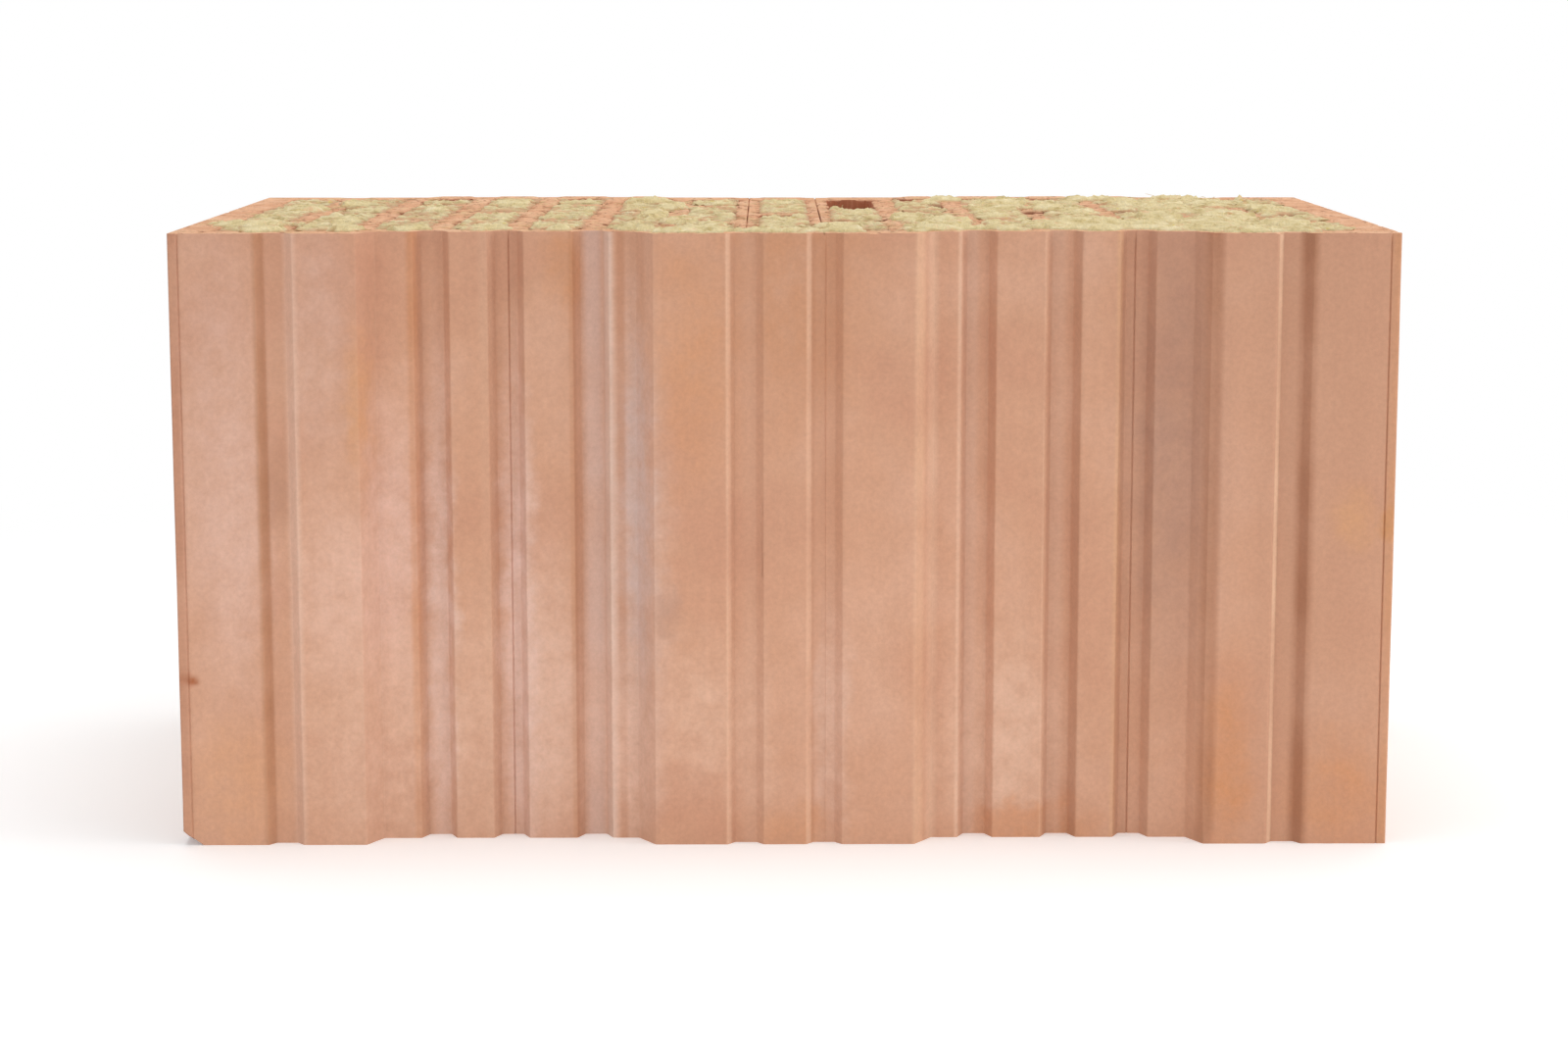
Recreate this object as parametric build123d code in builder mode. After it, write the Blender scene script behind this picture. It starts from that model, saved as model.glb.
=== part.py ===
from build123d import *
import os

# Insulating clay block for an outside wall. The fired clay body was extruded upright through a
# die, so its outline and its chambers run straight from bed face to bed face, and both bed faces
# were then ground flat. Slabs of mineral wool are pressed into the chambers.
#
# +X runs through the wall, +Y along it and +Z up. The origin is the middle of the lower bed face.
# The head faces, which meet the next block, are the two that face -Y and +Y.

os.makedirs("parts", exist_ok=True)

# Driving sizes of the block, in millimetres
WALL_THICKNESS = 490.0
LAYING_LENGTH = 248.0
HEIGHT = 249.0

# Tongue and groove: two wide recesses in the front head face, two tongues on the back one
RECESS_DEPTH = 10.4
RECESS_MOUTH = (52.7, 170.3)
RECESS_FLOOR = (59.9, 164.2)
TONGUE_HEIGHT = 9.8
TONGUE_SIDE_PLAY = 1.2

# Narrow grooves in the head faces, each over a web, by their distance from the middle
LAND_GROOVES = (15.9, 203.0)
RECESS_GROOVES = (77.8, 112.0, 141.8)
LAND_GROOVE_DEPTH = 3.5
RECESS_GROOVE_DEPTH = 6.1
GROOVE_MOUTH = 14.4
GROOVE_FLOOR = 8.6
DIE_RADIUS = 1.1

# Chambers: rows across the wall, with their cross webs in running bond from row to row
ROW_PITCH = 31.2
ROWS_EACH_SIDE = 7
RECESSED_ROWS = (2, 3, 4, 5)
CHAMBER_WIDTH = 21.2
CHAMBER_CORNER = 4.0
END_SHELL = 16.0
CROSS_WEB = 10.0

# Wool slabs: held by the two long walls of their chamber, a little short at its ends and faces,
# with their upright corners pressed in by the chamber's round ones
WOOL_END_GAP = 1.0
WOOL_FACE_GAP = 1.0
WOOL_CORNER = 4.0
EMPTY_CHAMBER = "row_09_back"

# Broken corner at the foot of the front head face: how far the break reaches along each edge
BREAK_ALONG_X = 8.6
BREAK_ALONG_Y = 19.0
BREAK_ALONG_Z = 5.9

# Places that follow from the driving sizes
HALF_THICKNESS = WALL_THICKNESS / 2
FRONT_LAND = -(LAYING_LENGTH + TONGUE_HEIGHT) / 2
BACK_LAND = FRONT_LAND + LAYING_LENGTH
TONGUE_FACE = BACK_LAND + TONGUE_HEIGHT
MIDDLE_ROW = ROWS_EACH_SIDE + 1


def trapezoid(mouth, floor, mouth_y, floor_y, mode):
    """A four-sided profile between two spans of x, and its mirror image across the block."""
    for side in (-1, 1):
        Polygon(
            (side * mouth[0], mouth_y),
            (side * floor[0], floor_y),
            (side * floor[1], floor_y),
            (side * mouth[1], mouth_y),
            align=None,
            mode=mode,
        )


def grooves(centres, face_y, depth):
    """Narrow grooves in a head face, cut to the given depth, on both halves of the block."""
    for centre in centres:
        mouth = (centre - GROOVE_MOUTH / 2, centre + GROOVE_MOUTH / 2)
        floor = (centre - GROOVE_FLOOR / 2, centre + GROOVE_FLOOR / 2)
        trapezoid(mouth, floor, face_y, face_y + depth, Mode.SUBTRACT)


def row_chambers(row):
    """Place, middle along Y and length of each chamber in a row, from front to back."""
    recessed = abs(row) in RECESSED_ROWS
    front = FRONT_LAND + END_SHELL + (RECESS_DEPTH if recessed else 0)
    back = BACK_LAND - END_SHELL + (TONGUE_HEIGHT if recessed else 0)
    shares = {"front": 1, "back": 1} if row % 2 == 0 else {"front": 1, "middle": 2, "back": 1}
    clear = back - front - CROSS_WEB * (len(shares) - 1)
    chambers = []
    for place, share in shares.items():
        length = clear * share / sum(shares.values())
        chambers.append((f"row_{row + MIDDLE_ROW:02d}_{place}", front + length / 2, length))
        front += length + CROSS_WEB
    return chambers


ALL_CHAMBERS = [
    (name, row * ROW_PITCH, middle, length)
    for row in range(-ROWS_EACH_SIDE, ROWS_EACH_SIDE + 1)
    for name, middle, length in row_chambers(row)
]

# Clay body
with BuildPart() as clay_block:
    with BuildSketch() as outline:
        with Locations((0, (FRONT_LAND + BACK_LAND) / 2)):
            Rectangle(WALL_THICKNESS, LAYING_LENGTH)
        trapezoid(RECESS_MOUTH, RECESS_FLOOR, FRONT_LAND, FRONT_LAND + RECESS_DEPTH, Mode.SUBTRACT)
        tongue_foot = (RECESS_MOUTH[0] + TONGUE_SIDE_PLAY, RECESS_MOUTH[1] - TONGUE_SIDE_PLAY)
        tongue_top = (RECESS_FLOOR[0] + TONGUE_SIDE_PLAY, RECESS_FLOOR[1] - TONGUE_SIDE_PLAY)
        trapezoid(tongue_foot, tongue_top, BACK_LAND, TONGUE_FACE, Mode.ADD)
        grooves(LAND_GROOVES, FRONT_LAND, LAND_GROOVE_DEPTH)
        grooves(RECESS_GROOVES, FRONT_LAND + RECESS_DEPTH, RECESS_GROOVE_DEPTH)
        grooves(LAND_GROOVES, BACK_LAND, -LAND_GROOVE_DEPTH)
        grooves(RECESS_GROOVES, TONGUE_FACE, -RECESS_GROOVE_DEPTH)
        fillet(outline.vertices(), radius=DIE_RADIUS)
    extrude(amount=HEIGHT)

    with BuildSketch():
        for name, x, middle, length in ALL_CHAMBERS:
            with Locations((x, middle)):
                RectangleRounded(CHAMBER_WIDTH, length, CHAMBER_CORNER)
    extrude(amount=HEIGHT, mode=Mode.SUBTRACT)

    corner_break = Plane(
        origin=(-HALF_THICKNESS, FRONT_LAND, BREAK_ALONG_Z),
        z_dir=(1 / BREAK_ALONG_X, 1 / BREAK_ALONG_Y, 1 / BREAK_ALONG_Z),
    )
    split(bisect_by=corner_break, keep=Keep.TOP)

clay_block.part.label = "clay_block"
export_step(clay_block.part, "parts/clay_block.step")

# Wool slabs
for name, x, middle, length in ALL_CHAMBERS:
    if name == EMPTY_CHAMBER:
        continue
    with BuildPart() as wool_slab:
        with BuildSketch(Plane.XY.offset(WOOL_FACE_GAP)) as slab_section:
            with Locations((x, middle)):
                Rectangle(CHAMBER_WIDTH, length - 2 * WOOL_END_GAP)
            chamfer(slab_section.vertices(), length=WOOL_CORNER)
        extrude(amount=HEIGHT - 2 * WOOL_FACE_GAP)
    wool_slab.part.label = f"wool_{name}"
    export_step(wool_slab.part, f"parts/wool_{name}.step")
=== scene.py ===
import math
import random

import bmesh
import bpy
from mathutils import Matrix, Vector, bvhtree, kdtree, noise


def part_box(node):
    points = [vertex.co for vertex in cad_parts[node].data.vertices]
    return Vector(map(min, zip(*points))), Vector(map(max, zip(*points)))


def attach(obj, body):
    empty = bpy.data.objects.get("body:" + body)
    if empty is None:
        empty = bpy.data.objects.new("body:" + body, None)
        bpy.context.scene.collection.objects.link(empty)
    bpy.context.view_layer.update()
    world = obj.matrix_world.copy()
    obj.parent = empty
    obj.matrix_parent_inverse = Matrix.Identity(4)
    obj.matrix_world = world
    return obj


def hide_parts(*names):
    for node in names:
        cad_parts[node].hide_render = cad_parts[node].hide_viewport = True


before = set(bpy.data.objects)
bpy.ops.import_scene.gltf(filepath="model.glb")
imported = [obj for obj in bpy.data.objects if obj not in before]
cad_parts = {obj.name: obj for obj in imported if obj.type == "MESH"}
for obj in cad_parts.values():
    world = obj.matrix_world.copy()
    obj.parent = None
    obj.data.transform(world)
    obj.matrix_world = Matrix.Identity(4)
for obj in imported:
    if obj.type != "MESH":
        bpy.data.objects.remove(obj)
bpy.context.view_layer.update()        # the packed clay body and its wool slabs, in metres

MM = 0.001

# Places read from the frame, and the pitch of its rows of chambers
body_low, body_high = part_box("clay_block")
TOP = body_high.z
SLABS = {name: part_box(name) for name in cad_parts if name.startswith("wool_row_")}
ROW_PITCH = 31.2 * MM


# Colour and nodes

def colour(code):
    """An sRGB hex code as the linear colour that a shader takes."""
    parts = [int(code[i:i + 2], 16) / 255 for i in (1, 3, 5)]
    return [c / 12.92 if c <= 0.04045 else ((c + 0.055) / 1.055) ** 2.4 for c in parts] + [1.0]


def add(tree, kind, feeds=None, **settings):
    """Adds a node with its settings. A feed is a value, a socket or a node, for its output."""
    made = tree.nodes.new(kind)
    for name, value in settings.items():
        setattr(made, name, value)
    for name, value in (feeds or {}).items():
        if isinstance(value, bpy.types.Node):
            value = next(output for output in value.outputs if output.enabled)
        if isinstance(value, bpy.types.NodeSocket):
            tree.links.new(value, made.inputs[name])
        else:
            made.inputs[name].default_value = value
    return made


def new_material(name):
    """An empty material with its tree, and the place on the piece in millimetres."""
    material = bpy.data.materials.new(name)
    material.use_nodes = True
    tree = material.node_tree
    tree.nodes.clear()
    coordinates = add(tree, "ShaderNodeTexCoord")
    place = add(tree, "ShaderNodeVectorMath", {0: coordinates.outputs["Object"], "Scale": 1 / MM},
                operation="SCALE")
    return material, tree, place


def ramp_stops(ramp, stops):
    """Sets a colour ramp's stops from (position, hex code) pairs."""
    elements = ramp.color_ramp.elements
    while len(elements) < len(stops):
        elements.new(0.5)
    for element, (position, code) in zip(elements, stops):
        element.position = position
        element.color = colour(code)


# Fired clay, extruded: the skin that the die dragged smooth before the clay was dried and fired.
# Matt and finely grained, pink to tan, with salt blooms and rust runs, and painted shade and
# highlights.

BLOOMS = (
    # name, middle across and half width, middle up and half height, in mm, colour, strength
    ("left land", -226, 26, 165, 130, "#cba391", 0.60),
    ("left land, mottled", -219, 16, 120, 70, "#d8b3a3", 0.35),
    ("left land foot", -222, 26, 26, 34, "#cf9a74", 0.45),
    ("smudge in left groove", -204, 9, 146, 24, "#a07660", 0.35),
    ("left recess, upper", -186, 18, 205, 70, "#cba593", 0.50),
    ("left recess, middle", -181, 24, 108, 48, "#dcb6a4", 0.50),
    ("tan patch in left recess", -171, 6, 182, 34, "#cb9366", 0.50),
    ("lilac patch in left recess", -158, 15, 122, 78, "#d8b2a2", 0.65),
    ("left recess, lower", -150, 60, 40, 60, "#dab49e", 0.50),
    ("pale fourth groove", -140, 8, 85, 135, "#dcbcae", 0.70),
    ("pale third groove", -108, 10, 85, 135, "#dcbbae", 0.75),
    ("red brown over second groove", -88, 12, 233, 22, "#c48960", 0.50),
    ("grey bloom, wide", -62, 20, 118, 130, "#cbaea1", 0.55),
    ("grey bloom, core", -59, 7, 140, 90, "#c9b0a8", 0.55),
    ("second groove, lower", -68, 22, 34, 56, "#deb9a5", 0.60),
    ("beside second groove, lower", -96, 16, 55, 90, "#dcb9a7", 0.45),
    ("middle right groove, lower", 19, 9, 40, 76, "#dab8a6", 0.55),
    ("smudge beside grey bloom", -47, 6, 97, 16, "#a07c6a", 0.35),
    ("warm upper middle land", -37, 22, 200, 66, "#c88f68", 0.50),
    ("warm top of the middle", 2, 42, 236, 80, "#bd8764", 0.60),
    ("bloom on middle land", -34, 20, 52, 42, "#dab49d", 0.45),
    ("bloom right of middle", 37, 15, 72, 34, "#d4ac96", 0.25),
    ("middle groove, lower", -13, 12, 40, 60, "#d8b19a", 0.40),
    ("foot of middle", 5, 30, 6, 12, "#c99069", 0.40),
    ("right recess, lower", 88, 34, 40, 60, "#dab49d", 0.60),
    ("foot of right recess", 98, 38, 5, 12, "#c48459", 0.50),
    # painted shade: a dark band across the right recess towards its outer slope
    ("painted shade in right recess", 158, 24, 165, 130, "#a07a69", 0.55),
    ("foot of right slope", 180, 13, 34, 50, "#c6875a", 0.65),
    ("right land", 214, 50, 165, 220, "#b98b71", 0.70),
    ("orange spot on right land", 229, 12, 133, 18, "#d39b64", 0.25),
    ("right land foot", 226, 28, 20, 30, "#c88b60", 0.45),
    ("rust on left arris", -243, 7, 68, 9, "#9c5834", 0.90),
    ("rust on right arris", 244, 6, 134, 12, "#bf8448", 0.60),
)
STREAKS = (
    # name, middle across and half width in mm, colour, strength
    ("left arris strip", -244, 5.0, "#b7846a", 0.80),
    ("shaded side of first groove", -209.3, 3.2, "#a87553", 0.60),
    ("lit side of first groove", -197, 4.0, "#dbb8a4", 0.50),
    ("orange run", -149.5, 3.2, "#bd7a48", 0.35),
    ("pale seam", -120, 4.5, "#d5ab90", 0.20),
    ("red line beside second groove", -85.5, 2.0, "#b67c56", 0.35),
    ("grey in second groove", -77.5, 6.0, "#cdb2a8", 0.45),
    ("pale line in second groove", -71, 3.0, "#dcc0b0", 0.55),
    # painted shade on the shaded wall beside the grey bloom
    ("painted shade beside grey bloom", -66, 2.6, "#ae7350", 0.35),
    ("pale edge of middle land", -54.5, 3.0, "#d2a68e", 0.30),
    # painted highlight where this arris catches the lamp on the right
    ("painted highlight on arris, middle left", -22.8, 1.5, "#e6c0a4", 0.34),
    ("pale middle groove", -13, 6.0, "#d0a68e", 0.20),
    # painted highlight where this arris catches the lamp on the right
    ("painted highlight on arris, middle right", 9.6, 1.5, "#e6c0a4", 0.38),
    ("brown groove, middle right", 19, 7.5, "#b58064", 0.20),
    ("pale slope", 54, 3.2, "#e2bb9a", 0.30),
    ("pale slope foot", 59.5, 3.4, "#e0bea4", 0.26),
    # painted highlight where this arris catches the lamp on the right
    ("painted highlight on arris, sixth groove", 70.3, 1.4, "#e6c2a8", 0.34),
    # painted light on the side of the sixth groove that faces the lamp
    ("painted light on lit side of sixth groove", 75, 4.5, "#d8b4a0", 0.32),
    # painted highlight where this arris catches the lamp on the right
    ("painted highlight on arris, seventh groove", 105, 1.3, "#deb496", 0.26),
    # painted light on the side of the seventh groove that faces the lamp
    ("painted light on lit side of seventh groove", 110, 5.0, "#d4ae98", 0.30),
    ("shaded side of seventh groove", 118, 2.6, "#a3745a", 0.18),
    # painted highlight on the arris of the eighth groove, lightening the shade at its mouth
    ("painted highlight on arris, eighth groove", 134.5, 2.0, "#d9a97f", 0.30),
    # painted shade on the outer slope of the right recess, which faces away from the lamp
    ("painted shade on outer slope of right recess", 171, 5.0, "#a47052", 0.40),
    # painted highlight where this arris catches the lamp on the right
    ("painted highlight on arris, last groove", 197.3, 1.4, "#eac4a4", 0.50),
    ("shaded side of last groove", 208.8, 5.0, "#935f43", 0.50),
    ("right arris strip", 244, 4.5, "#c08a66", 0.60),
)


def fired_clay():
    material, tree, place = new_material("fired_clay_extruded")
    parts = add(tree, "ShaderNodeSeparateXYZ", {0: place})

    # The back head face was drawn through the other side of the die, so its marks run mirrored
    behind = add(tree, "ShaderNodeMapRange", {
        "Value": parts.outputs["Y"], "From Min": -60.0, "From Max": 60.0},
        interpolation_type="SMOOTHSTEP")
    mirrored = add(tree, "ShaderNodeMath", {0: parts.outputs["X"], 1: -0.94, 2: 9.0},
                   operation="MULTIPLY_ADD")
    across = add(tree, "ShaderNodeMix", {0: behind, 2: parts.outputs["X"], 3: mirrored})
    steady = add(tree, "ShaderNodeCombineXYZ", {"X": across, "Z": parts.outputs["Z"]})
    eddies = add(tree, "ShaderNodeTexNoise", {
        "Vector": place, "Scale": 1 / 16, "Detail": 3.0, "Roughness": 0.6})
    pull = add(tree, "ShaderNodeVectorMath", {
        0: eddies.outputs["Color"], 1: (16, 0, 34), 2: (-8, 0, -17)}, operation="MULTIPLY_ADD")
    wandering = add(tree, "ShaderNodeVectorMath", {0: steady, 1: pull}, operation="ADD")

    blotches = add(tree, "ShaderNodeTexNoise", {
        "Vector": place, "Scale": 1 / 55, "Detail": 4.0, "Roughness": 0.55})
    tone = add(tree, "ShaderNodeValToRGB", {0: blotches})
    ramp_stops(tone, ((0.34, "#c39176"), (0.50, "#c7977b"), (0.66, "#cc9e84")))

    patchy = add(tree, "ShaderNodeTexNoise", {
        "Vector": place, "Scale": 1 / 9, "Detail": 5.0, "Roughness": 0.65})
    broken = add(tree, "ShaderNodeMapRange", {
        "Value": patchy, "From Min": 0.34, "From Max": 0.66, "To Min": 0.65, "To Max": 1.25})
    body = tone
    for name, middle, half_width, height, half_height, code, strength in BLOOMS:
        nearby = add(tree, "ShaderNodeMapping", {
            "Vector": wandering, "Location": (middle, 0, height),
            "Scale": (half_width, 1, half_height)}, vector_type="TEXTURE")
        reach = add(tree, "ShaderNodeVectorMath", {0: nearby}, operation="LENGTH")
        mask = add(tree, "ShaderNodeMapRange", {
            "Value": reach, "From Min": 0.2, "From Max": 1.15, "To Min": strength, "To Max": 0.0},
            interpolation_type="SMOOTHSTEP")
        share = add(tree, "ShaderNodeMath", {0: mask, 1: broken}, operation="MULTIPLY",
                    use_clamp=True)
        body = add(tree, "ShaderNodeMix", {0: share, 6: body, 7: colour(code)},
                   data_type="RGBA", label=name)

    drawn_out = add(tree, "ShaderNodeMapping", {"Vector": place, "Scale": (1, 1, 0.02)})
    fading = add(tree, "ShaderNodeTexNoise", {
        "Vector": add(tree, "ShaderNodeMapping", {"Vector": place, "Scale": (0.2, 0.2, 1)}),
        "Scale": 1 / 45, "Detail": 3.0})
    faded = add(tree, "ShaderNodeMapRange", {
        "Value": fading, "From Min": 0.36, "From Max": 0.60, "To Min": 0.55, "To Max": 1.2})
    for name, middle, half_width, code, strength in STREAKS:
        offset = add(tree, "ShaderNodeMath", {0: across, 1: middle}, operation="SUBTRACT")
        reach = add(tree, "ShaderNodeMath", {0: offset}, operation="ABSOLUTE")
        mask = add(tree, "ShaderNodeMapRange", {
            "Value": reach, "From Min": half_width * 0.25, "From Max": half_width,
            "To Min": strength, "To Max": 0.0}, interpolation_type="SMOOTHSTEP")
        share = add(tree, "ShaderNodeMath", {0: mask, 1: faded}, operation="MULTIPLY",
                    use_clamp=True)
        body = add(tree, "ShaderNodeMix", {0: share, 6: body, 7: colour(code)},
                   data_type="RGBA", label=name)

    drag = add(tree, "ShaderNodeTexNoise", {
        "Vector": drawn_out, "Scale": 1 / 3.4, "Detail": 3.0, "Roughness": 0.6})
    grain = add(tree, "ShaderNodeTexNoise", {
        "Vector": place, "Scale": 1 / 1.9, "Detail": 3.0, "Roughness": 0.75})
    drag_shade = add(tree, "ShaderNodeMapRange", {
        "Value": drag, "From Min": 0.3, "From Max": 0.7, "To Min": 0.985, "To Max": 1.015})
    grain_shade = add(tree, "ShaderNodeMapRange", {
        "Value": grain, "From Min": 0.25, "From Max": 0.75, "To Min": 0.925, "To Max": 1.075})
    patch_shade = add(tree, "ShaderNodeMapRange", {
        "Value": patchy, "From Min": 0.3, "From Max": 0.7, "To Min": 0.97, "To Max": 1.03})
    shade = add(tree, "ShaderNodeMath", {0: drag_shade, 1: grain_shade}, operation="MULTIPLY")
    shade = add(tree, "ShaderNodeMath", {0: shade, 1: patch_shade}, operation="MULTIPLY")
    surface = add(tree, "ShaderNodeVectorMath", {0: body, "Scale": shade}, operation="SCALE")

    drag_bump = add(tree, "ShaderNodeBump", {
        "Height": drag, "Strength": 0.25, "Distance": 0.12 * MM})
    grain_bump = add(tree, "ShaderNodeBump", {
        "Height": grain, "Strength": 0.5, "Distance": 0.22 * MM, "Normal": drag_bump})
    shader = add(tree, "ShaderNodeBsdfPrincipled", {
        "Base Color": surface, "Roughness": 0.88, "IOR": 1.5, "Specular IOR Level": 0.25,
        "Normal": grain_bump})
    add(tree, "ShaderNodeOutputMaterial", {"Surface": shader})
    return material


# Fired clay, ground: the inside of the clay laid bare by the grinding wheel. Dry, brighter and
# more orange than the skin, dusty, with pits, scratches and torn, rust-red spots.

def ground_clay():
    material, tree, place = new_material("fired_clay_ground")
    blotches = add(tree, "ShaderNodeTexNoise", {
        "Vector": place, "Scale": 1 / 17, "Detail": 5.0, "Roughness": 0.6})
    tone = add(tree, "ShaderNodeValToRGB", {0: blotches})
    ramp_stops(tone, ((0.32, "#d8a07d"), (0.5, "#e2af8b"), (0.66, "#e9bb99")))

    scratched = add(tree, "ShaderNodeMapping", {"Vector": place, "Scale": (1, 0.12, 1)})
    scratches = add(tree, "ShaderNodeTexNoise", {
        "Vector": scratched, "Scale": 1 / 1.1, "Detail": 3.0, "Roughness": 0.7})
    crumbs = add(tree, "ShaderNodeTexNoise", {
        "Vector": place, "Scale": 1 / 1.0, "Detail": 4.0, "Roughness": 0.75})
    pits = add(tree, "ShaderNodeTexNoise", {
        "Vector": place, "Scale": 1 / 3.6, "Detail": 5.0, "Roughness": 0.75})
    pit_mask = add(tree, "ShaderNodeMapRange", {
        "Value": pits, "From Min": 0.57, "From Max": 0.66, "To Min": 0.0, "To Max": 0.85})
    smears = add(tree, "ShaderNodeTexNoise", {
        "Vector": place, "Scale": 1 / 7, "Detail": 6.0, "Roughness": 0.7})
    smear_mask = add(tree, "ShaderNodeMapRange", {
        "Value": smears, "From Min": 0.52, "From Max": 0.66, "To Min": 0.0, "To Max": 0.65})
    parts = add(tree, "ShaderNodeSeparateXYZ", {0: place})
    torn_share = add(tree, "ShaderNodeMapRange", {
        "Value": parts.outputs["Z"], "From Min": TOP / MM - 1.2, "From Max": TOP / MM - 0.3,
        "To Min": 0.9, "To Max": 0.0})
    red_share = add(tree, "ShaderNodeMath", {0: pit_mask, 1: torn_share}, operation="MAXIMUM")
    from_middle = add(tree, "ShaderNodeMath", {0: parts.outputs["X"]}, operation="ABSOLUTE")
    over_chambers = add(tree, "ShaderNodeMapRange", {
        "Value": from_middle, "From Min": 205.0, "From Max": 228.0, "To Min": 1.0, "To Max": 0.0})
    smear_share = add(tree, "ShaderNodeMath", {0: smear_mask, 1: over_chambers},
                      operation="MULTIPLY")

    shade = add(tree, "ShaderNodeMapRange", {
        "Value": scratches, "From Min": 0.3, "From Max": 0.7, "To Min": 0.92, "To Max": 1.06})
    shaded = add(tree, "ShaderNodeVectorMath", {0: tone, "Scale": shade}, operation="SCALE")
    smeared = add(tree, "ShaderNodeMix", {0: smear_share, 6: shaded, 7: colour("#dbc391")},
                  data_type="RGBA", label="wool fluff rubbed into the clay")
    surface = add(tree, "ShaderNodeMix", {0: red_share, 6: smeared, 7: colour("#96533b")},
                  data_type="RGBA", label="torn and pitted clay")

    pit_depth = add(tree, "ShaderNodeMath", {0: pit_mask, 1: -1.0}, operation="MULTIPLY")
    pit_bump = add(tree, "ShaderNodeBump", {
        "Height": pit_depth, "Strength": 0.8, "Distance": 0.6 * MM})
    scratch_bump = add(tree, "ShaderNodeBump", {
        "Height": scratches, "Strength": 0.5, "Distance": 0.35 * MM, "Normal": pit_bump})
    crumb_bump = add(tree, "ShaderNodeBump", {
        "Height": crumbs, "Strength": 0.6, "Distance": 0.35 * MM, "Normal": scratch_bump})
    shader = add(tree, "ShaderNodeBsdfPrincipled", {
        "Base Color": surface, "Roughness": 0.95, "IOR": 1.5, "Specular IOR Level": 0.15,
        "Normal": crumb_bump})
    add(tree, "ShaderNodeOutputMaterial", {"Surface": shader})
    return material


# Fired clay, cored: the chambers' walls, as the die's cores left them. Closer to brick red than
# the skin, because no salts dried out on them, and torn along their upper edges.

def cored_clay():
    material, tree, place = new_material("fired_clay_cored")
    drawn_out = add(tree, "ShaderNodeMapping", {"Vector": place, "Scale": (1, 1, 0.05)})
    drag = add(tree, "ShaderNodeTexNoise", {
        "Vector": drawn_out, "Scale": 1 / 2.5, "Detail": 4.0, "Roughness": 0.6})
    tone = add(tree, "ShaderNodeValToRGB", {0: drag})
    ramp_stops(tone, ((0.3, "#c47a58"), (0.55, "#d68e6a"), (0.75, "#e2a282")))
    grain = add(tree, "ShaderNodeTexNoise", {
        "Vector": place, "Scale": 1 / 1.3, "Detail": 4.0, "Roughness": 0.7})
    bump = add(tree, "ShaderNodeBump", {
        "Height": grain, "Strength": 0.6, "Distance": 0.4 * MM})
    shader = add(tree, "ShaderNodeBsdfPrincipled", {
        "Base Color": tone, "Roughness": 0.92, "IOR": 1.5, "Specular IOR Level": 0.2,
        "Normal": bump})
    add(tree, "ShaderNodeOutputMaterial", {"Surface": shader})
    return material


# Mineral wool: matted glassy fibres with a yellow binder. Dull and soft, pale straw to olive,
# combed in short runs, with clay dust on its lower parts and shade in its folds.

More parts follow.
